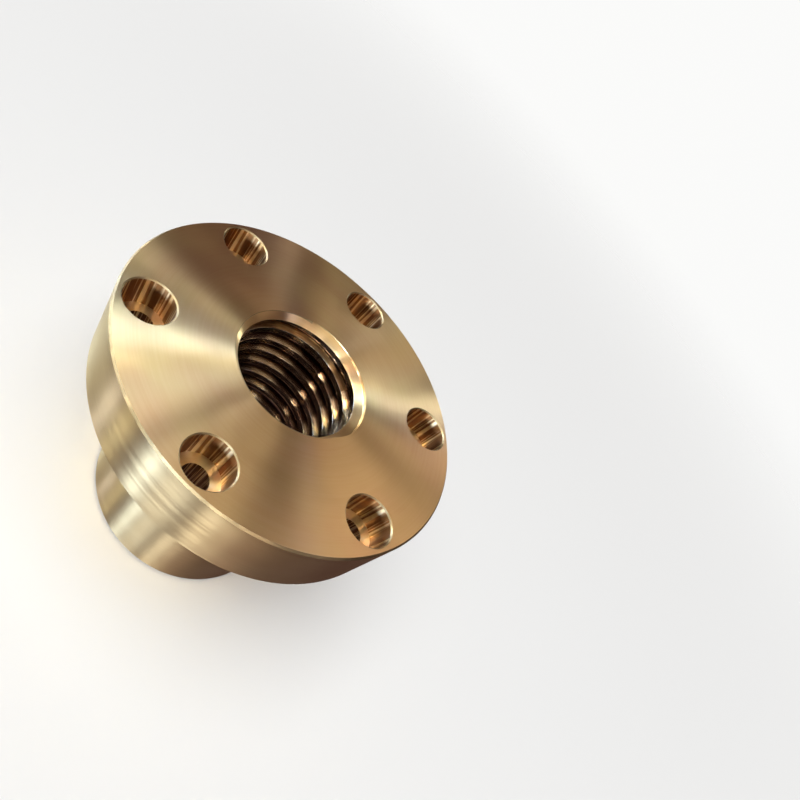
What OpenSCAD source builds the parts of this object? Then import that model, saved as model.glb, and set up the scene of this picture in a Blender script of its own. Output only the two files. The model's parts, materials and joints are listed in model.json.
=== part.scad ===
// Flanged lead screw nut, turned from one piece of bronze bar, in millimetres.
// It stands on the foot of its barrel with the flange on top. The origin is the centre of
// the foot, and +Z runs along the bore and leaves through the front face of the flange.

/* [Thread] */
// Nominal diameter of the trapezoidal screw that runs in the nut
thread_d = 24; // [18:0.5:30]
// Pitch of the thread, which has a single right-hand start
thread_pitch = 3; // [2:0.5:5]
// Lean of each flank of the thread, away from square to the axis
flank_angle = 15; // [10:1:20]
// Gap between the crests of the screw and the root of the groove in the nut
root_clearance = 0.25; // [0.1:0.05:0.5]
// How far the crests in the nut stand back from those of the basic thread
crest_clearance = 0.125; // [0:0.025:0.15]
// Width of the 45 degree lead-in at both mouths of the bore
lead_in = 1; // [0.4:0.1:2]
// Height of the middle of the groove over the foot, where it crosses the +X side
groove_start = 2.6; // [0:0.1:3]
// Straight steps along one turn of the groove
thread_steps = 24; // [12:4:36]

/* [Flange] */
// How far the flange stands out past the barrel, all round
flange_overhang = 10; // [9:0.5:30]
// Thickness of the flange
flange_t = 12; // [7:0.5:25]
// Width of the 45 degree edge break on both rims of the flange
rim_break = 0.3; // [0.1:0.1:0.5]

/* [Barrel] */
// Outside diameter of the barrel
barrel_d = 40; // [36:0.5:70]
// Length of the barrel from its foot to the seat under the flange
barrel_l = 33; // [10:1:90]
// Width of the 45 degree edge break round the foot of the barrel
foot_break = 0.5; // [0.1:0.1:1.5]
// Radius of the corner between the barrel and the seat under the flange
corner_r = 0.5; // [0.2:0.1:1]

/* [Screw holes] */
// Number of counterbored screw holes round the flange
hole_count = 6; // [3:1:10]
// Metal left between the side of a counterbore and the rim of the flange
rim_wall = 1; // [1:0.2:2]
// Nominal diameter of the socket head screws
screw_d = 4; // [2.5:0.5:4]
// Extra diameter of the through hole over the screw
screw_clearance = 0.5; // [0.2:0.1:0.6]
// Diameter of the screw head
head_d = 7; // [5.5:0.5:7]
// Height of the screw head
head_h = 4; // [2:0.5:5]
// Extra diameter of the counterbore over the screw head
head_clearance = 1; // [0.4:0.1:1.2]
// Depth of the head's top below the face of the flange
head_sink = 1; // [0:0.1:1.5]
// Width of the 45 degree edge break round both mouths of a screw hole
hole_break = 0.2; // [0.1:0.1:0.4]

/* [Hidden] */
// A basic trapezoidal thread is half a pitch deep, and its groove is half a pitch wide at
// the pitch line, halfway down the flanks.
thread_r = thread_d / 2;
root_r = thread_r + root_clearance;
pitch_line_r = thread_r - thread_pitch / 4;
bore_r = thread_r - thread_pitch / 2 + crest_clearance;
barrel_r = barrel_d / 2;
flange_r = barrel_r + flange_overhang;
// Height of the whole nut, from its foot to the front face of the flange
nut_h = barrel_l + flange_t;
// Two of the screw holes lie on the Y axis
first_hole_angle = 90;
through_r = (screw_d + screw_clearance) / 2;
counterbore_r = (head_d + head_clearance) / 2;
counterbore_depth = head_h + head_sink;
// Radius of the circle that the hole centres lie on
hole_circle_r = flange_r - rim_wall - counterbore_r;
// How far a cutting shape reaches past the face that it opens
overcut = 1;
// How far the groove's cutting shape reaches into the open bore
groove_overcut = 0.3;
// Straight steps along the rounded corner
corner_steps = 6;
bronze = [0.76, 0.61, 0.38];
$fn = 120;

// Points of the concave corner, from the barrel wall up to the seat of the flange
function corner_points() = [
    for (i = [0 : corner_steps])
        let (a = 180 - 90 * i / corner_steps)
        [
            barrel_r + corner_r + corner_r * cos(a),
            barrel_l - corner_r + corner_r * sin(a)
        ]
];

// Half section of the turned and bored blank, to the right of the axis
module nut_section() {
    polygon(concat(
        [
            [bore_r, lead_in],
            [bore_r + lead_in, 0],
            [barrel_r - foot_break, 0],
            [barrel_r, foot_break]
        ],
        corner_points(),
        [
            [flange_r - rim_break, barrel_l],
            [flange_r, barrel_l + rim_break],
            [flange_r, nut_h - rim_break],
            [flange_r - rim_break, nut_h],
            [bore_r + lead_in, nut_h],
            [bore_r, nut_h - lead_in]
        ]
    ));
}

// Half the width of the groove at one radius
function groove_half(r) = thread_pitch / 4 + (pitch_line_r - r) * tan(flank_angle);

// Corners of the groove's section, as radius and height from the middle of the groove
function groove_section(mouth_r) = [
    [mouth_r, -groove_half(mouth_r)],
    [root_r, -groove_half(root_r)],
    [root_r, groove_half(root_r)],
    [mouth_r, groove_half(mouth_r)]
];

// The same corners in space, after the groove has wound on by an angle
function groove_corners(angle) = [
    for (corner = groove_section(bore_r - groove_overcut))
        [
            corner[0] * cos(angle),
            corner[0] * sin(angle),
            groove_start + thread_pitch * angle / 360 + corner[1]
        ]
];

// One continuous groove on a right-hand helix. It starts a full turn below the foot and
// ends a full turn above the flange, so it runs out through both faces.
module thread_groove() {
    turns_below = ceil(groove_start / thread_pitch) + 1;
    turns_above = ceil((nut_h - groove_start) / thread_pitch) + 1;
    steps = (turns_below + turns_above) * thread_steps;
    corners = len(groove_section(bore_r));
    points = [
        for (i = [0 : steps])
            each groove_corners((i / thread_steps - turns_below) * 360)
    ];
    sides = [
        for (i = [0 : steps - 1], j = [0 : corners - 1])
            let (a = i * corners + j, b = i * corners + (j + 1) % corners)
            each [[a, b, b + corners], [a, b + corners, a + corners]]
    ];
    first_end = [for (j = [0 : corners - 1]) corners - 1 - j];
    last_end = [for (j = [0 : corners - 1]) steps * corners + j];
    polyhedron(points, concat(sides, [first_end, last_end]));
}

// Half section of the drill and counterbore that make one screw hole. It is measured from
// the front face of the flange downwards and breaks the edge where each diameter opens.
module screw_hole_section() {
    polygon([
        [0, overcut],
        [counterbore_r + hole_break + overcut, overcut],
        [counterbore_r, -hole_break],
        [counterbore_r, -counterbore_depth],
        [through_r, -counterbore_depth],
        [through_r, hole_break - flange_t],
        [through_r + hole_break + overcut, -flange_t - overcut],
        [0, -flange_t - overcut]
    ]);
}

module screw_hole() {
    rotate_extrude() screw_hole_section();
}

module nut() {
    color(bronze)
    difference() {
        rotate_extrude() nut_section();
        thread_groove();
        for (i = [0 : hole_count - 1])
            rotate([0, 0, first_hole_angle + i * 360 / hole_count])
            translate([hole_circle_r, 0, nut_h])
            screw_hole();
    }
}

nut();
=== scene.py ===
# %% [markdown]
# # A flanged lead screw nut in turned bronze
#
# A lead screw nut turns the rotation of a long threaded screw into travel. This one is
# cut from a single bronze bar: a lathe turns the flange and the barrel, bores the middle
# and cuts a trapezoidal thread in it, and a stepped drill makes six holes for socket
# head screws. We make it in Blender in the same order as the workshop does, so that every
# edge ends up where a real tool would leave it.

# %% Load the frame and keep its box
import json
import math

import bmesh
import bpy
import numpy as np
from mathutils import Matrix, Vector


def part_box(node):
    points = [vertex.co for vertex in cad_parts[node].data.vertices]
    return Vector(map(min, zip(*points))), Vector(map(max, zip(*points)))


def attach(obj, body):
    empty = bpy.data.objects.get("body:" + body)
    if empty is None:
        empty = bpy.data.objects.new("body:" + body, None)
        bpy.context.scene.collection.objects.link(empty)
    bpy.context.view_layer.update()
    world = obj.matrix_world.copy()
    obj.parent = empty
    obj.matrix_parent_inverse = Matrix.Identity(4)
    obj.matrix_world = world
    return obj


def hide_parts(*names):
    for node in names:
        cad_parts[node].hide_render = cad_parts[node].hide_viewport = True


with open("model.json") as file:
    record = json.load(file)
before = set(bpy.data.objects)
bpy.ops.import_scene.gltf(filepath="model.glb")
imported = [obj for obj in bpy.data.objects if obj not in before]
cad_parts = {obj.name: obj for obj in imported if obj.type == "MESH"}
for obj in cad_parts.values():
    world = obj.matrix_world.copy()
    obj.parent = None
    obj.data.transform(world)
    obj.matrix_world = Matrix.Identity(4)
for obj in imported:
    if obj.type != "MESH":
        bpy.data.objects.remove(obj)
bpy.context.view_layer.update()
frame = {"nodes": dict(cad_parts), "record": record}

# %% [markdown]
# ## Read the sizes off the CAD part
#
# The CAD part fixes every size, so nothing is typed in twice. Its record lists the
# surfaces that other parts touch, with their radii and lengths. Small features, such as
# the broken edges and the counterbores, are not listed there, but their corners are rings
# of vertices in the CAD mesh, and a ring's radius is easy to measure.

# %% The sizes that the record states
MM = 0.001
TOUCH = 0.01 * MM
touching = {mount["name"]: mount for mount in frame["record"]["mounts"]}
thread_dims = touching["screw_thread"]["dims"]
barrel_dims = touching["barrel_pilot"]["dims"]
screw_dims = touching["flange_screws"]["dims"]
low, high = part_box("nut")
height = high.z - low.z
flange_r = max(high.x, high.y)
seat_z = touching["flange_seat"]["pos_m"][2]
barrel_r = barrel_dims["r_mm"] * MM
crest_r = thread_dims["r_mm"] * MM
lead_in = (height - thread_dims["length_mm"] * MM) / 2
foot_break = (seat_z - barrel_dims["length_mm"] * MM) / 2
circle_r = screw_dims["pcd_mm"] * MM / 2
hole_count = screw_dims["count"]
print(f"height {height:.4f}, flange r {flange_r:.4f}, seat at {seat_z:.4f}")
print(f"barrel r {barrel_r:.4f}, crest r {crest_r:.5f}, lead-in {lead_in:.4f}")


# %% The sizes that are measured on the CAD mesh
def ring_radii(centre_x, centre_y, z, reach):
    """Radii of the CAD mesh's vertices at height z, round an upright axis."""
    found = set()
    for vertex in frame["nodes"]["nut"].data.vertices:
        r = math.hypot(vertex.co.x - centre_x, vertex.co.y - centre_y)
        if abs(vertex.co.z - z) < TOUCH and r < reach:
            found.add(round(r / MM, 2) * MM)
    return sorted(found)


hole_x, hole_y = 0.0, circle_r
hole_reach = flange_r - circle_r
rim_break = flange_r - max(ring_radii(0, 0, height, 2 * flange_r))
through_r = screw_dims["hole_r_mm"] * MM
depths = [tenths * 0.1 * MM for tenths in range(10, 100)]
shoulder_z = next(
    height - depth for depth in depths
    if ring_radii(hole_x, hole_y, height - depth, hole_reach)
)
counterbore_r = max(ring_radii(hole_x, hole_y, shoulder_z, hole_reach))
hole_break = max(ring_radii(hole_x, hole_y, height, 1.1 * counterbore_r)) - counterbore_r
print(f"rim break {rim_break:.5f}, counterbore r {counterbore_r:.4f}")
print(f"counterbore floor at {shoulder_z:.4f}, hole break {hole_break:.5f}")

# %% [markdown]
# ## Turn the blank
#
# A lathe tool follows half of the nut's section while the bar spins under it. Blender's
# Screw modifier could do that to a drawn outline, but a spin in mesh code keeps the
# corners in a list where they can be read and changed. The corner between the barrel and
# the seat is rounded by the tool's nose, so it gets an arc. The bore is left too small,
# as a drill leaves it before the thread is cut.

# %% A helper that rounds a corner
def round_corner(before, corner, after, radius, steps):
    """Points of the arc that rounds one corner of a flat outline."""
    back = (Vector(before) - Vector(corner)).normalized()
    ahead = (Vector(after) - Vector(corner)).normalized()
    half = back.angle(ahead) / 2
    centre = Vector(corner) + (back + ahead).normalized() * radius / math.sin(half)
    first = (Vector(corner) + back * radius / math.tan(half) - centre).normalized()
    last = (Vector(corner) + ahead * radius / math.tan(half) - centre).normalized()
    return [
        tuple(centre + radius * first.slerp(last, i / steps))
        for i in range(steps + 1)
    ]


trial = round_corner((0, 1), (0, 0), (1, 0), 0.1, 3)
print("a square corner becomes", [(round(x, 3), round(y, 3)) for x, y in trial])

# %% The lathe
WELD = 0.0005 * MM


def turn(name, section, steps):
    """Spin a closed half section of (radius, height) points round the Z axis."""
    shape = bmesh.new()
    corners = [shape.verts.new((r, 0, z)) for r, z in section]
    pairs = zip(corners, corners[1:] + corners[:1])
    edges = [shape.edges.new(pair) for pair in pairs]
    bmesh.ops.spin(
        shape, geom=corners + edges, axis=(0, 0, 1), cent=(0, 0, 0),
        angle=2 * math.pi, steps=steps, use_merge=True,
    )
    bmesh.ops.remove_doubles(shape, verts=shape.verts, dist=WELD)
    on_axis = [edge for edge in shape.edges if not edge.link_faces]
    bmesh.ops.delete(shape, geom=on_axis, context="EDGES")
    bmesh.ops.recalc_face_normals(shape, faces=shape.faces)
    mesh = bpy.data.meshes.new(name)
    shape.to_mesh(mesh)
    shape.free()
    turned = bpy.data.objects.new(name, mesh)
    bpy.context.scene.collection.objects.link(turned)
    return turned


print(f"corners nearer than {WELD / MM} mm are welded")

# %% Turn the outside, with the bore still undersize
BLANK_STEPS = 360
MOUTH_ROUND = 0.12 * MM
undersize_r = crest_r - 0.5 * MM
lead_mouth = crest_r + lead_in
lead_end = lead_mouth - undersize_r
foot_end, top_end = (undersize_r, lead_end), (undersize_r, height - lead_end)
section = [
    foot_end,
    *round_corner(foot_end, (lead_mouth, 0), (barrel_r, 0), MOUTH_ROUND, 3),
    (barrel_r - foot_break, 0),
    (barrel_r, foot_break),
    *round_corner((barrel_r, 0), (barrel_r, seat_z), (flange_r, seat_z), foot_break, 6),
    (flange_r - rim_break, seat_z),
    (flange_r, seat_z + rim_break),
    (flange_r, height - rim_break),
    (flange_r - rim_break, height),
    *round_corner((flange_r, height), (lead_mouth, height), top_end, MOUTH_ROUND, 3),
    top_end,
]
nut = turn("lead_screw_nut", section, BLANK_STEPS)
print("blank:", len(nut.data.polygons), "faces")

# %% [markdown]
# ## Cut the thread
#
# The thread is trapezoidal: its flanks lean 15 degrees, and its groove is half a pitch
# deep, plus a quarter of a millimetre so that the screw never touches the bottom. A
# displaced or bump-mapped bore would look right from far away only, and it could not
# break out through the face as a real groove does. So we model the tap that would cut
# it, a long threaded rod, and take it away from the blank. Where its groove reaches the
# face, the boolean leaves the same thin crescent that a real cutter leaves. The groove
# starts at the same angle as the one in the CAD part, so the two threads lie together,
# but it has many more steps along a turn and its corners are rounded by the tool's nose.

# %% One pitch of the tap's outline
pitch = 3 * MM
screw_r = 12 * MM
root_r = screw_r + 0.25 * MM
lean = math.tan(math.radians(15))
CREST_ROUND, ROOT_ROUND = 0.06 * MM, 0.15 * MM
pitch_line_r = screw_r - pitch / 4
half_mouth = pitch / 4 + (pitch_line_r - crest_r) * lean
half_root = pitch / 4 - (root_r - pitch_line_r) * lean
corners = [
    (-pitch / 2, crest_r),
    (-half_mouth, crest_r),
    (-half_root, root_r),
    (half_root, root_r),
    (half_mouth, crest_r),
    (pitch / 2, crest_r),
]
outline = [corners[0]]
for i, radius in enumerate((CREST_ROUND, ROOT_ROUND, ROOT_ROUND, CREST_ROUND), 1):
    outline += round_corner(corners[i - 1], corners[i], corners[i + 1], radius, 3)
print(f"groove {2 * half_mouth / MM:.3f} mm wide at the crests")
print(f"groove {2 * half_root / MM:.3f} mm wide at its root")


# %% A tap is one long helical strip, closed at both ends
def cut_tap(name, outline, pitch, start_z, turns, steps):
    """A threaded rod: the outline of one pitch swept up a right-hand helix."""
    rod = bmesh.new()
    count, width = turns * steps, len(outline)
    rows = []
    for i in range(count + steps + 1):
        turn_angle = 2 * math.pi * i / steps
        climb = start_z + pitch * i / steps
        across = outline if i <= count else outline[:1]
        rows.append([
            rod.verts.new((r * math.cos(turn_angle), r * math.sin(turn_angle), climb + s))
            for s, r in across
        ])
    for i in range(count):
        here = rows[i] + rows[i + steps][:1]
        ahead = rows[i + 1] + rows[i + 1 + steps][:1]
        for j in range(width):
            rod.faces.new((here[j], ahead[j], ahead[j + 1], here[j + 1]))
    middle = start_z + pitch * (count + steps) / steps / 2
    ends = [rod.verts.new((0, 0, z)) for z in (start_z, 2 * middle - start_z)]
    for edge in [e for e in rod.edges if e.is_boundary]:
        a, b = edge.verts
        rod.faces.new((a, b, ends[(a.co.z + b.co.z) / 2 > middle]))
    bmesh.ops.recalc_face_normals(rod, faces=rod.faces)
    mesh = bpy.data.meshes.new(name)
    rod.to_mesh(mesh)
    rod.free()
    tap = bpy.data.objects.new(name, mesh)
    bpy.context.scene.collection.objects.link(tap)
    return tap


print("the strip is", len(outline), "points wide")

# %% Cut the tap
THREAD_STEPS = 216
groove_at_x = 2.6 * MM
start_z = groove_at_x - 3 * pitch
turns = math.ceil((height - start_z) / pitch) + 1
tap = cut_tap("tap", outline, pitch, start_z, turns, THREAD_STEPS)
print("tap:", turns, "turns,", len(tap.data.polygons), "faces")

# %% [markdown]
# ## Drill the screw holes
#
# Each hole has two widths: the narrow part clears the screw's shank, and the wide part
# sinks its head. A 45 degree lip breaks the edge at both faces. Three or four plain
# cutters a hole would do it, but one stepped drill keeps them on one centre. Its half
# section spins into a solid just as the blank did, and a copy stands on each of the six
# centres.

# %% The stepped drill
DRILL_STEPS = 96
clear = 1 * MM
drill_section = [
    (0, seat_z - clear),
    (through_r + hole_break + clear, seat_z - clear),
    (through_r, seat_z + hole_break),
    (through_r, shoulder_z),
    (counterbore_r, shoulder_z),
    (counterbore_r, height - hole_break),
    (counterbore_r + hole_break + clear, height + clear),
    (0, height + clear),
]
drill = turn("drill", drill_section, DRILL_STEPS)
drills = bmesh.new()
hole_angles = [math.pi / 2 + 2 * math.pi * i / hole_count for i in range(hole_count)]
for angle in hole_angles:
    centre = Vector((circle_r * math.cos(angle), circle_r * math.sin(angle), 0))
    first = len(drills.verts)
    drills.from_mesh(drill.data)
    drills.verts.ensure_lookup_table()
    bmesh.ops.translate(drills, verts=drills.verts[first:], vec=centre)
drills.to_mesh(drill.data)
drills.free()
print("drills:", len(drill.data.polygons), "faces")

# %% [markdown]
# ## Cut the blank
#
# Two booleans take the tap and the drills away. Blank, tap and drills are all closed
# solids, so the Manifold solver can be used. It takes a tenth of a second, where the
# Exact solver takes minutes on a thread this fine, and it keeps every edge of the
# cutters, which matters where the groove runs out through the flat face in a sliver.

# %% Take the tap and the drills away
for cutter in (tap, drill):
    cut = nut.modifiers.new("cut_" + cutter.name, "BOOLEAN")
    cut.operation = "DIFFERENCE"
    cut.solver = "MANIFOLD"
    cut.object = cutter
depsgraph = bpy.context.evaluated_depsgraph_get()
cut_mesh = bpy.data.meshes.new_from_object(nut.evaluated_get(depsgraph))
nut.modifiers.clear()
nut.data = cut_mesh
for cutter in (tap, drill):
    bpy.data.objects.remove(cutter)
print("cut nut:", len(nut.data.polygons), "faces,", len(nut.data.vertices), "vertices")

# %% [markdown]
# ## Sort the faces by the tool that made them
#
# Each tool leaves its own marks: the facing tool leaves rings, the turning tool leaves
# bands, the drill leaves streaks. So every face is given to one of five finishes. Picking
# faces by hand would not survive a change of size. Their height, their distance from the
# two kinds of axis and the way they face say which tool cut them. The floor of a
# counterbore is flat and counts as faced. So does the lead-in of the bore, with the last
# of the groove where it runs out through it, because both are cleaned in one pass.

# %% Which tool cut a face
FINISHES = ["faced", "turned", "edge", "drilled", "thread"]
LEVELS = (0, seat_z, shoulder_z, height)
LEVEL, NEARLY_LEVEL, NEARLY_UPRIGHT = 0.999, 0.95, 0.3
RUN_OUT = 0.75 * pitch
BEHIND_ROOT = root_r + 0.1 * MM


def tool_of(centre, normal):
    """Name of the finish on a face with this centre and normal."""
    tilt = abs(normal.z)
    if tilt > LEVEL and any(abs(centre.z - level) < TOUCH for level in LEVELS):
        return "faced"
    r = math.hypot(centre.x, centre.y)
    off_hole = min(
        math.hypot(centre.x - circle_r * math.cos(a), centre.y - circle_r * math.sin(a))
        for a in hole_angles
    )
    lip = NEARLY_UPRIGHT < tilt < NEARLY_LEVEL
    if off_hole < counterbore_r + hole_break + TOUCH:
        return "edge" if lip else "drilled"
    if r < BEHIND_ROOT:
        below_face = min(centre.z, height - centre.z)
        if below_face < MOUTH_ROUND / 2:
            return "edge"
        run_out = below_face < RUN_OUT and (r > lead_mouth or tilt > NEARLY_LEVEL)
        return "faced" if below_face < lead_in or run_out else "thread"
    broken = lip and (r > flange_r - rim_break or centre.z < foot_break)
    return "edge" if broken else "turned"


print("wall of the barrel:", tool_of(Vector((barrel_r, 0, seat_z / 2)), Vector((1, 0, 0))))
print("root of the groove:", tool_of(Vector((root_r, 0, height / 2)), Vector((-1, 0, 0))))

# %% Sort the faces
# The list of materials is emptied first, because emptying it later would send every face
# back to the first finish.
nut.data.materials.clear()
sorted_faces = dict.fromkeys(FINISHES, 0)
for face in nut.data.polygons:
    finish = tool_of(face.center, face.normal)
    face.material_index = FINISHES.index(finish)
    sorted_faces[finish] += 1
print("faces of each finish:", sorted_faces)

# %% [markdown]
# ## Shade curved and flat faces together
#
# Smooth shading bends light over every edge, also over the sharp ones. Edges steeper than
# 40 degrees are marked sharp, and the Weighted Normal modifier then lets the large faces
# keep their own direction, so that the flat flange stays flat right up to its broken edge.

# %% Sharp edges and weighted normals
shape = bmesh.new()
shape.from_mesh(nut.data)
bmesh.ops.dissolve_degenerate(shape, edges=shape.edges, dist=WELD)
for face in shape.faces:
    face.smooth = True
for edge in shape.edges:
    edge.smooth = edge.calc_face_angle(0) < math.radians(40)
shape.to_mesh(nut.data)
print("open edges:", sum(not edge.is_manifold for edge in shape.edges))
shape.free()
weigh = nut.modifiers.new("weigh_normals", "WEIGHTED_NORMAL")
weigh.keep_sharp = True
weigh.weight = 100

# %% [markdown]
# ## Write down how each tool ran
#
# A cut surface keeps the track of its tool: fine grooves that run round the axis of the
# turning. On most of the nut that is the axis of the bar, and in a screw hole it is the
# axis of the drill. The Tangent node knows one axis only. So every face corner gets two
# notes of its own, which the materials read back: the direction of the track, and a place
# along it. The place holds the cosine and sine of the angle round the tool's axis, and
# the feed, which is the height on a wall and the radius on a flat face or in the thread.
# A face can belong to a drill by its finish or, on the floor of a counterbore, by its
# height.

# %% Read the mesh into arrays
def read(items, value, kind, width=1):
    """One value of all faces, corners or vertices, as an array with a row for each."""
    found = np.empty(len(items) * width, kind)
    items.foreach_get(value, found)
    return found.reshape(-1, width) if width > 1 else found


mesh = nut.data
corners_of_face = read(mesh.polygons, "loop_total", np.int32)
finish_at = np.repeat(read(mesh.polygons, "material_index", np.int32), corners_of_face)
facing = read(mesh.polygons, "normal", np.float32, 3)
facing_up = np.repeat(np.abs(facing[:, 2]), corners_of_face)
place = read(mesh.vertices, "co", np.float32, 3)[read(mesh.loops, "vertex_index", np.int32)]
print(len(mesh.polygons), "faces with", len(place), "corners")

# %% Which axis each face corner was turned about
centres = circle_r * np.array([(math.cos(a), math.sin(a)) for a in hole_angles])
from_holes = place[:, None, :2] - centres[None]
nearest = np.argmin(np.hypot(from_holes[..., 0], from_holes[..., 1]), axis=1)
from_hole = from_holes[np.arange(len(place)), nearest]
reach = counterbore_r + hole_break + TOUCH
cut_by_drill = np.isin(finish_at, [FINISHES.index(name) for name in ("edge", "drilled")])
cut_by_drill |= np.abs(place[:, 2] - shoulder_z) < TOUCH
cut_by_drill &= np.hypot(from_hole[:, 0], from_hole[:, 1]) < reach
print(int(cut_by_drill.sum()), "of", len(place), "face corners belong to the holes")

# %% Store the track and the place on it
off_axis = np.where(cut_by_drill[:, None], from_hole, place[:, :2])
radius = np.maximum(np.hypot(off_axis[:, 0], off_axis[:, 1]), TOUCH)
cosine, sine = off_axis[:, 0] / radius, off_axis[:, 1] / radius
by_radius = (facing_up > 0.7) | (finish_at == FINISHES.index("thread"))
feed = np.where(by_radius, radius, place[:, 2]) / MM
notes = {
    "tool_track": np.stack([-sine, cosine, np.zeros_like(sine)], axis=1),
    "tool_place": np.stack([cosine, sine, feed], axis=1),
}
for name, values in notes.items():
    note = mesh.attributes.new(name, "FLOAT_VECTOR", "CORNER")
    note.data.foreach_set("vector", values.astype(np.float32).ravel())
print("feed runs from", round(float(feed.min()), 2), "to", round(float(feed.max()), 2), "mm")

# %% [markdown]
# ## The metal
#
# Bronze is a warm yellow metal. All five finishes are the same metal, and differ only in
# the marks on it. A turned surface is a set of very fine grooves, so it mirrors light
# sharply along a groove and spreads it widely across. The Principled shader calls that
# anisotropy. Its tangent is the track that we stored, given a quarter turn, because the
# light spreads across the track. An image of brushed metal could not do this: it would
# look the same from everywhere, while real bands of light wander as you walk round.
#
# The roughness varies within each finish, but stays on one side of about 0.28. Below that
# value the denoiser takes a surface for a mirror, and where a patch crossed it, the picture
# would show an outline round the patch.

# %% A bronze shader
METAL = (0.82, 0.61, 0.34, 1)


def add(material, kind, settings=None, **inputs):
    """Put one node into a material and set its options and its free inputs."""
    node = material.node_tree.nodes.new("ShaderNode" + kind)
    for name, value in (settings or {}).items():
        setattr(node, name, value)
    for name, value in inputs.items():
        node.inputs[name.replace("_", " ")].default_value = value
    return node


def join(material, source, target):
    """Link an output to an input."""
    material.node_tree.links.new(source, target)


def bronze(name, roughness, anisotropy):
    """A bare bronze whose highlights follow the stored tool track."""
    material = bpy.data.materials.new("bronze_" + name)
    material.use_nodes = True
    shader = material.node_tree.nodes["Principled BSDF"]
    shader.inputs["Base Color"].default_value = METAL
    shader.inputs["Metallic"].default_value = 1
    shader.inputs["Roughness"].default_value = roughness
    shader.inputs["Anisotropic"].default_value = anisotropy
    shader.inputs["Anisotropic Rotation"].default_value = 0.25
    track = add(material, "Attribute", {"attribute_name": "tool_track"})
    join(material, track.outputs["Vector"], shader.inputs["Tangent"])
    return material, shader


print("colour of the bare metal:", METAL[:3])

# %% [markdown]
# ## Marks of the tool
#
# The grooves themselves are too fine to see, but they are never even: every few turns
# one is deeper, and now and then the tool chatters. Noise gives both, once it is
# stretched along the track. The noise reads the stored place. A small number of changes
# round the turn with many along the feed makes rings, and the opposite makes streaks that
# run along a hole. Stains do not care about the tool, so they use plain noise in space.
# Either noise can then drive a number, a colour or the depth of the surface.

# %% Noise that follows the tool, and noise that does not
RUGGED = 0.6
WARPED = 0.4


def marks(material, around, along, detail=3.0):
    """Noise with so many changes round a turn and so many per millimetre of feed."""
    stored = add(material, "Attribute", {"attribute_name": "tool_place"})
    stretch = add(material, "Mapping", Scale=(around, around, along))
    noise = add(material, "TexNoise", Scale=1.0, Detail=detail, Roughness=RUGGED)
    join(material, stored.outputs["Vector"], stretch.inputs["Vector"])
    join(material, stretch.outputs["Vector"], noise.inputs["Vector"])
    return noise.outputs["Fac"]


def clouds(material, per_metre, detail=3.0):
    """Soft noise that lies over the whole piece, for stains, handling and patches of painted
    light and shade.
    """
    where = add(material, "TexCoord")
    noise = add(material, "TexNoise", Scale=per_metre, Detail=detail, Distortion=WARPED)
    join(material, where.outputs["Object"], noise.inputs["Vector"])
    return noise.outputs["Fac"]


print("marks are rugged by", RUGGED, "and clouds are warped by", WARPED)

# %% Noise into numbers, colours and depth
MICROMETRE = 1e-6


def between(material, source, low, high, start=0.35, stop=0.65):
    """Turn noise from start to stop into a number from low to high."""
    spread = add(material, "MapRange", {"interpolation_type": "SMOOTHSTEP"})
    limits = {"From Min": start, "From Max": stop, "To Min": low, "To Max": high}
    for name, value in limits.items():
        spread.inputs[name].default_value = value
    join(material, source, spread.inputs["Value"])
    return spread.outputs["Result"]


def blend(material, amount, first, second):
    """Mix two colours, or a colour and another blend."""
    mixer = add(material, "Mix", {"data_type": "RGBA"})
    join(material, amount, mixer.inputs["Factor"])
    for socket, colour in ((mixer.inputs["A"], first), (mixer.inputs["B"], second)):
        if isinstance(colour, tuple):
            socket.default_value = colour
        else:
            join(material, colour, socket)
    return mixer.outputs["Result"]


def groove_depth(material, shader, layers):
    """Bump the surface by several noises, each with its depth in micrometres."""
    below = None
    for height_of, micrometres in layers:
        bump = add(material, "Bump", Strength=1.0, Distance=micrometres * MICROMETRE)
        join(material, height_of, bump.inputs["Height"])
        if below:
            join(material, below, bump.inputs["Normal"])
        below = bump.outputs["Normal"]
    join(material, below, shader.inputs["Normal"])


print("depths are given in steps of", MICROMETRE, "m")

# %% [markdown]
# ## Faced: the flat faces of the flange and the foot
#
# The facing tool feeds inwards while the bar turns, so its rings lie round the bore. Air
# and fingers have toned the metal in soft patches, a little rosier here and a little
# greener there, and where it has been wiped the grooves are slightly smoother. Rings could
# be cut into the mesh, but they are finer than any mesh should be, so noise makes them.
# One cloud sets the tone, another the roughness, and rings set the grain. All stay weak: a
# clean face shows them only where the light grazes it.

# %% Faced finish
ROSY = (0.73, 0.49, 0.27, 1)
OLIVE = (0.76, 0.57, 0.29, 1)
PALE = (0.84, 0.65, 0.38, 1)
faced, shader = bronze("faced", 0.32, 0.95)
tone = blend(faced, between(faced, clouds(faced, 55), 0, 1), ROSY, OLIVE)
grain = marks(faced, 1.2, 2.6, 4)
tone = blend(faced, between(faced, grain, 0, 0.2), tone, PALE)
join(faced, tone, shader.inputs["Base Color"])
wiped = between(faced, clouds(faced, 90, 4), 0.29, 0.34)
join(faced, wiped, shader.inputs["Roughness"])
fine_rings, chatter = marks(faced, 0.8, 3.2, 2), marks(faced, 2.5, 0.35, 2)
groove_depth(faced, shader, [(fine_rings, 1), (chatter, 2)])
print("faced:", len(faced.node_tree.nodes), "nodes")
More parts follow.
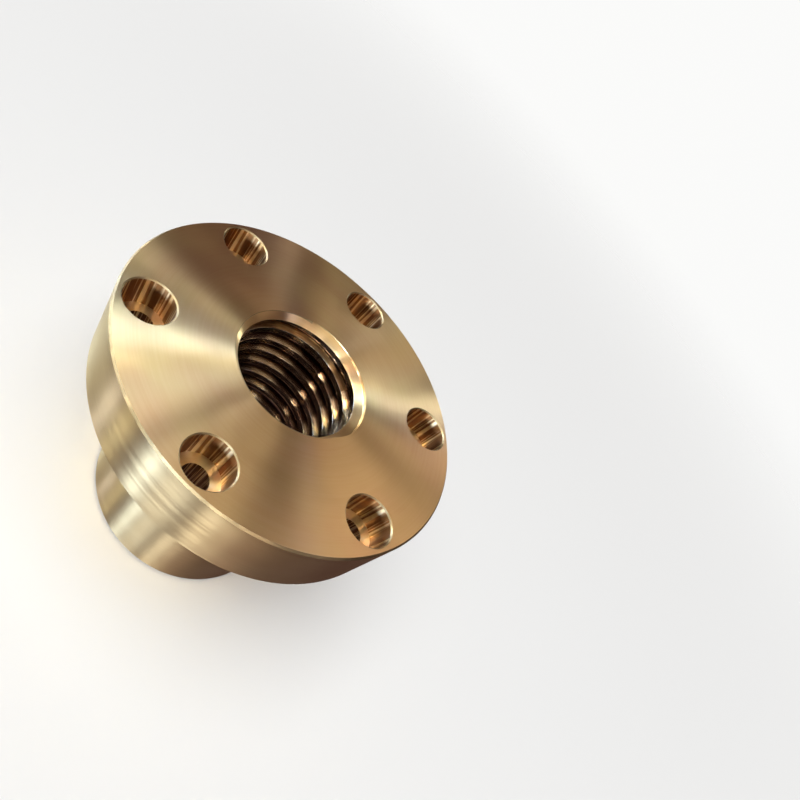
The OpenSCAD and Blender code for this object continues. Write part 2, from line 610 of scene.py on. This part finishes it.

# %% [markdown]
# ## Turned: the rim of the flange and the barrel
#
# These walls are cut with the side of the tool, at a finer feed. They mirror more sharply
# along the track than the face, and upright bands of light stand on them. Their tone is a
# lighter copy of the bronze, a painted highlight that makes rim and barrel brighter than
# the face. Painted bands would be simpler, but they would not move with the light. The same
# helper makes the rings, now by height, and a slow waviness round the turn keeps a band
# from being ruler straight.

# %% Turned finish
# Painted highlight: a lighter copy of the bronze that makes rim and barrel brighter than the
# face.
LIT_BRONZE = (0.92, 0.72, 0.43, 1)
turned, shader = bronze("turned", 0.30, 0.97)
grain = marks(turned, 1.5, 3.0, 4)
tone = blend(turned, between(turned, clouds(turned, 70), 0, 1), METAL, LIT_BRONZE)
tone = blend(turned, between(turned, grain, 0, 0.5), tone, PALE)
join(turned, tone, shader.inputs["Base Color"])
join(turned, between(turned, grain, 0.285, 0.33), shader.inputs["Roughness"])
fine_rings, waviness = marks(turned, 1.0, 3.0, 2), marks(turned, 7.0, 0.25, 1)
groove_depth(turned, shader, [(fine_rings, 2), (waviness, 14)])
print("turned:", len(turned.node_tree.nodes), "nodes")

# %% [markdown]
# ## Edge: the broken edges
#
# A chamfering tool takes the sharpness off each edge. These narrow faces are touched most,
# and small nicks have made them rougher than the rest. They light up as thin lines, because
# a slanted face always finds some lamp, and their dark brown is painted shade that dims
# these lines. A map of the edges could be baked, but here the mesh already knows which faces
# are edges, so a plain material does it. One cloud mixes the painted brown in patches, and a
# finer one dents the metal.

# %% Edge finish
# Painted shade: a dark brown that dims the highlight lines along the edges.
EDGE_SHADE = (0.25, 0.19, 0.11, 1)
edge, shader = bronze("edge", 0.5, 0.8)
tone = blend(edge, between(edge, clouds(edge, 300, 2), 0.1, 0.4), EDGE_SHADE, METAL)
join(edge, tone, shader.inputs["Base Color"])
groove_depth(edge, shader, [(clouds(edge, 1500, 2), 4)])
print("edge:", len(edge.node_tree.nodes), "nodes")

# %% [markdown]
# ## Drilled: the walls of the screw holes
#
# The walls are a dark copper, which is painted shade inside the holes. Scores run along the
# hole where chips were dragged out. They are the streaks of our noise: many changes round
# the turn, hardly any along the feed. They dent the metal, and the golden streaks painted
# along them are painted reflections. The drill's own grooves lie round the hole, as in a
# turned wall, so the light spreads along it. Real scratches in the mesh would look the same
# at many times the cost.

# %% Drilled finish
# Painted shade inside the holes, and painted reflections along their streaks.
HOLE_SHADE = (0.28, 0.14, 0.06, 1)
STREAK_GLINT = (0.92, 0.72, 0.44, 1)
drilled, shader = bronze("drilled", 0.32, 0.93)
scores_and_glint_streaks = marks(drilled, 5.0, 0.05, 2)
rings = marks(drilled, 0.7, 2.2, 2)
# Golden streaks of painted reflection over the painted shade of the hole.
tone = blend(drilled, between(drilled, scores_and_glint_streaks, 0, 1, 0.46, 0.60), HOLE_SHADE, STREAK_GLINT)
join(drilled, tone, shader.inputs["Base Color"])
join(drilled, between(drilled, rings, 0.29, 0.34), shader.inputs["Roughness"])
groove_depth(drilled, shader, [(scores_and_glint_streaks, 40), (rings, 3)])
print("drilled:", len(drilled.node_tree.nodes), "nodes")

# %% [markdown]
# ## Thread
#
# The flanks are the smoothest surface of the nut: the tool burnishes them. Their tone runs
# from a smoky brown, painted shade that darkens the bore, to nearly white, a painted
# highlight that makes their glints whiter. The root of the groove is painted dark as shade,
# and the crests are painted darker as shade that dims their glints. A material each for
# crest, flank and root would show a hard border between them. The stored feed of a thread
# face is its radius, so the depth in the groove can mix the tones by itself: a shaded crest,
# a light flank, a dark shaded root.

# %% Thread finish
# Painted shade for root and crests; the flank tones run from painted shade to painted
# highlight.
THREAD_SHADE = (0.16, 0.09, 0.05, 1)
FLANK_SHADE = (0.58, 0.47, 0.36, 1)
FLANK_GLINT = (1.0, 0.94, 0.82, 1)
thread, shader = bronze("thread", 0.16, 0.5)
stored = add(thread, "Attribute", {"attribute_name": "tool_place"})
split = add(thread, "SeparateXYZ")
join(thread, stored.outputs["Vector"], split.inputs["Vector"])
radius_mm = split.outputs["Z"]
# Painted shade: the crests are darker, which dims their glints.
crest_shade = between(thread, radius_mm, 0.45, 0, crest_r / MM, crest_r / MM + 0.2)
# Painted shade: darker towards the root of the groove.
root_shade = between(thread, radius_mm, 0, 1, crest_r / MM, root_r / MM)
tone = blend(thread, between(thread, marks(thread, 3.0, 6.0, 3), 0, 1), FLANK_SHADE, FLANK_GLINT)
tone = blend(thread, root_shade, blend(thread, crest_shade, tone, THREAD_SHADE), THREAD_SHADE)
join(thread, tone, shader.inputs["Base Color"])
join(thread, between(thread, clouds(thread, 300), 0.09, 0.15), shader.inputs["Roughness"])
fine_rings, waviness = marks(thread, 2.0, 5.0, 2), marks(thread, 9.0, 0.4, 2)
groove_depth(thread, shader, [(fine_rings, 5), (waviness, 14)])
print("thread:", len(thread.node_tree.nodes), "nodes")

# %% Give the finishes to the nut
made = {"faced": faced, "turned": turned, "edge": edge, "drilled": drilled, "thread": thread}
for finish in FINISHES:
    mesh.materials.append(made[finish])
print("materials:", [material.name for material in mesh.materials])

# %% [markdown]
# ## Camera
#
# The camera looks down on the flange from close by, with a wide lens, so that the far
# side of the bore and the rim can be seen together. It also leans to one side. Rolling it
# about its own line of sight is easier to change than three angles: aim first, then roll.
# The nut stands at the left of the picture. Turning the camera away would show the nut
# more from the side, so the lens is shifted instead.

# %% Camera
eye = Vector((1.068, -67.119, 100.532)) * MM
aim = Vector((3.991, -18.705, height / MM)) * MM
roll = math.radians(47.58)
camera = bpy.data.objects.new("camera", bpy.data.cameras.new("camera"))
bpy.context.scene.collection.objects.link(camera)
towards = (aim - eye).to_track_quat("-Z", "Y").to_matrix().to_4x4()
camera.matrix_world = Matrix.Translation(eye) @ towards @ Matrix.Rotation(roll, 4, "Z")
camera.data.sensor_width = 36
camera.data.lens = 25.02
camera.data.shift_x = 0.1768
camera.data.shift_y = 0.0707
camera.data.clip_start = 1 * MM
bpy.context.scene.camera = camera
print("camera stands", round((aim - eye).length / MM), "mm from what it aims at")

# %% [markdown]
# ## Floor and backdrop
#
# The nut stands on a pale table in a pale room. A huge floor would show its horizon, and
# a curved studio sweep would sit in every reflection. So the floor is a disc whose paint
# fades out to the pale world around it, and only the camera sees that pale world. The
# metal mirrors a dim, warm room instead, which is what keeps its dark sides brown, and it
# does not mirror the floor. Last, the Standard view shows the colours as they come, where
# a film-like view would grey the pale floor.

# %% The floor's shape
floor_r = 0.6
floor_angles = [math.radians(angle) for angle in np.arange(0, 360, 3.75)]
floor_mesh = bpy.data.meshes.new("floor")
ring = [(floor_r * math.cos(a), floor_r * math.sin(a), 0) for a in floor_angles]
floor_mesh.from_pydata(ring, [], [tuple(range(len(ring)))])
floor = bpy.data.objects.new("floor", floor_mesh)
bpy.context.scene.collection.objects.link(floor)
floor.visible_glossy = False
print("floor:", floor_r, "m in radius")

# %% The floor's paint
FADE_FROM, FADE_TO = 0.14, 0.5
paint = bpy.data.materials.new("floor_paint")
paint.use_nodes = True
board = paint.node_tree.nodes["Principled BSDF"]
board.inputs["Base Color"].default_value = (0.8, 0.79, 0.77, 1)
board.inputs["Roughness"].default_value = 0.9
board.inputs["Specular IOR Level"].default_value = 0.0
spot = add(paint, "TexCoord")
from_middle = add(paint, "VectorMath", {"operation": "LENGTH"})
nothing = add(paint, "BsdfTransparent")
fade = add(paint, "MixShader")
join(paint, spot.outputs["Object"], from_middle.inputs[0])
gone = between(paint, from_middle.outputs["Value"], 0, 1, FADE_FROM, FADE_TO)
join(paint, gone, fade.inputs[0])
join(paint, board.outputs[0], fade.inputs[1])
join(paint, nothing.outputs[0], fade.inputs[2])
join(paint, fade.outputs[0], paint.node_tree.nodes["Material Output"].inputs["Surface"])
floor.data.materials.append(paint)
print("the paint fades from", FADE_FROM, "to", FADE_TO, "m")

# %% The room: pale to the camera, dim and warm to the metal
BACKDROP = (0.96, 0.96, 0.95, 1)
ROOM = (1.00, 0.60, 0.58, 1)
ROOM_STRENGTH = 0.079
world = bpy.data.worlds.new("room")
world.use_nodes = True
nodes, links = world.node_tree.nodes, world.node_tree.links
dim = nodes["Background"]
dim.inputs["Color"].default_value = ROOM
dim.inputs["Strength"].default_value = ROOM_STRENGTH
pale = nodes.new("ShaderNodeBackground")
pale.inputs["Color"].default_value = BACKDROP
ray, choose = nodes.new("ShaderNodeLightPath"), nodes.new("ShaderNodeMixShader")
links.new(ray.outputs["Is Camera Ray"], choose.inputs[0])
links.new(dim.outputs[0], choose.inputs[1])
links.new(pale.outputs[0], choose.inputs[2])
links.new(choose.outputs[0], nodes["World Output"].inputs["Surface"])
bpy.context.scene.world = world
bpy.context.scene.view_settings.view_transform = "Standard"
print("room strength:", ROOM_STRENGTH)

# %% [markdown]
# ## Light
#
# A turned face answers a lamp with a pair of opposite wedges, and a turned wall answers
# it with one upright band. A single big window would give one broad sheen, so many small
# soft boxes stand round the nut, and each is placed by what it draws. The low ones draw
# the bands on rim and barrel, and the high ones draw the wedges on the face. Of these,
# high_left and its two neighbours also make the glints on the flanks of the thread,
# top_front makes the row of glints across its turns, and small_tube a thin streak on the
# face. Blue in a lamp cools the yellow metal until the highlight is nearly white.
#
# These lamps light only the metal, and one broad wash lights only the floor, so the floor
# can be made as pale as we like without touching the metal.

# %% A soft box
NUT_MIDDLE = Vector((0, 0, 0.03))


def softbox(name, azimuth, elevation, distance, size, watts, colour=(1, 1, 1)):
    """A rectangular area light that faces the nut from a compass direction."""
    lamp = bpy.data.lights.new(name, "AREA")
    lamp.shape = "RECTANGLE"
    lamp.size, lamp.size_y = size
    lamp.energy = watts
    lamp.color = colour
    box = bpy.data.objects.new(name, lamp)
    turn_to, rise = math.radians(azimuth), math.radians(elevation)
    flat = Vector((math.cos(turn_to), math.sin(turn_to), 0))
    away = math.cos(rise) * flat + math.sin(rise) * Vector((0, 0, 1))
    stand = Matrix.Translation(NUT_MIDDLE + distance * away)
    box.matrix_world = stand @ away.to_track_quat("Z", "Y").to_matrix().to_4x4()
    bpy.context.scene.collection.objects.link(box)
    return box


print("every lamp faces the point", tuple(NUT_MIDDLE))

# %% The lamps
LAMPS = [
    # name, azimuth, elevation, size in metres, watts, colour
    ("low_back", 70, 10, (0.05, 0.07), 0.31, (0.92, 1.00, 0.90)),
    ("low_left_rear", 145, 10, (0.10, 0.07), 0.74, (0.90, 0.96, 1.00)),
    ("low_left", 162, 10, (0.10, 0.07), 1.30, (0.60, 0.74, 1.00)),
    ("low_left_fill", 180, 10, (0.10, 0.07), 0.43, (0.82, 1.00, 0.99)),
    ("low_front_left", 215, 10, (0.07, 0.07), 1.12, (0.83, 0.89, 1.00)),
    ("low_front_gap", 229, 10, (0.08, 0.07), 0.85, (0.96, 1.00, 0.77)),
    ("low_accent", 251, 10, (0.07, 0.07), 3.28, (0.60, 0.78, 1.00)),
    ("low_front", 267, 10, (0.16, 0.07), 2.20, (0.84, 0.94, 1.00)),
    ("low_front_right", 288, 10, (0.09, 0.07), 1.60, (0.96, 1.00, 0.98)),
    ("low_right_fill", 299, 10, (0.08, 0.07), 0.56, (1.00, 0.91, 0.80)),
    ("low_right", 309, 10, (0.08, 0.07), 0.14, (1.00, 0.73, 0.60)),
    ("mid_back", 66, 30, (0.07, 0.07), 0.04, (1.00, 0.77, 0.60)),
    ("mid_back_right", 83, 30, (0.06, 0.06), 0.03, (0.95, 1.00, 0.69)),
    ("small_tube", 104, 29, (0.02, 0.10), 0.014, (1.00, 0.95, 0.90)),
    ("mid_back_left", 140, 28, (0.13, 0.13), 0.13, (0.98, 1.00, 0.80)),
    ("mid_right", 318, 30, (0.08, 0.08), 0.22, (1.00, 0.82, 0.70)),
    ("high_back", 60, 46, (0.20, 0.20), 0.18, (1.00, 0.79, 0.60)),
    ("high_left_rear", 164, 44, (0.10, 0.12), 2.34, (0.60, 0.77, 1.00)),
    ("high_left", 182, 44, (0.10, 0.12), 1.21, (1.00, 1.00, 0.67)),
    ("high_left_front", 196, 44, (0.14, 0.12), 0.25, (0.90, 0.95, 1.00)),
    ("high_right", 330, 46, (0.45, 0.45), 0.47, (1.00, 0.97, 0.86)),
    ("top_right", 8, 56, (0.10, 0.10), 0.11, (0.60, 0.60, 1.00)),
    ("top_back_left", 120, 60, (0.09, 0.09), 0.19, (0.78, 0.90, 1.00)),
    ("top_front_left", 208, 60, (0.09, 0.09), 0.29, (1.00, 0.72, 0.60)),
    ("top_front", 246, 52, (0.05, 0.05), 0.34, (1.00, 0.97, 0.90)),
    ("roof", 90, 84, (0.24, 0.24), 0.36, (1.00, 0.90, 0.60)),
]
print("power of all lamps:", round(sum(row[4] for row in LAMPS), 1), "W")

# %% Set up the lamps
LAMP_DISTANCE = 0.6
for name, azimuth, elevation, size, watts, colour in LAMPS:
    lamp = softbox(name, azimuth, elevation, LAMP_DISTANCE, size, watts, colour)
    lamp.visible_diffuse = False
wash = softbox("floor_wash", 255, 72, 2.0, (2.2, 2.2), 64, (0.94, 0.98, 1))
wash.visible_glossy = False
print(len(LAMPS), "lamps on the metal, one on the floor")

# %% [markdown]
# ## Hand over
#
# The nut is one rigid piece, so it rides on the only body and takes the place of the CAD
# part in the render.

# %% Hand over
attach(nut, "root")
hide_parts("nut")
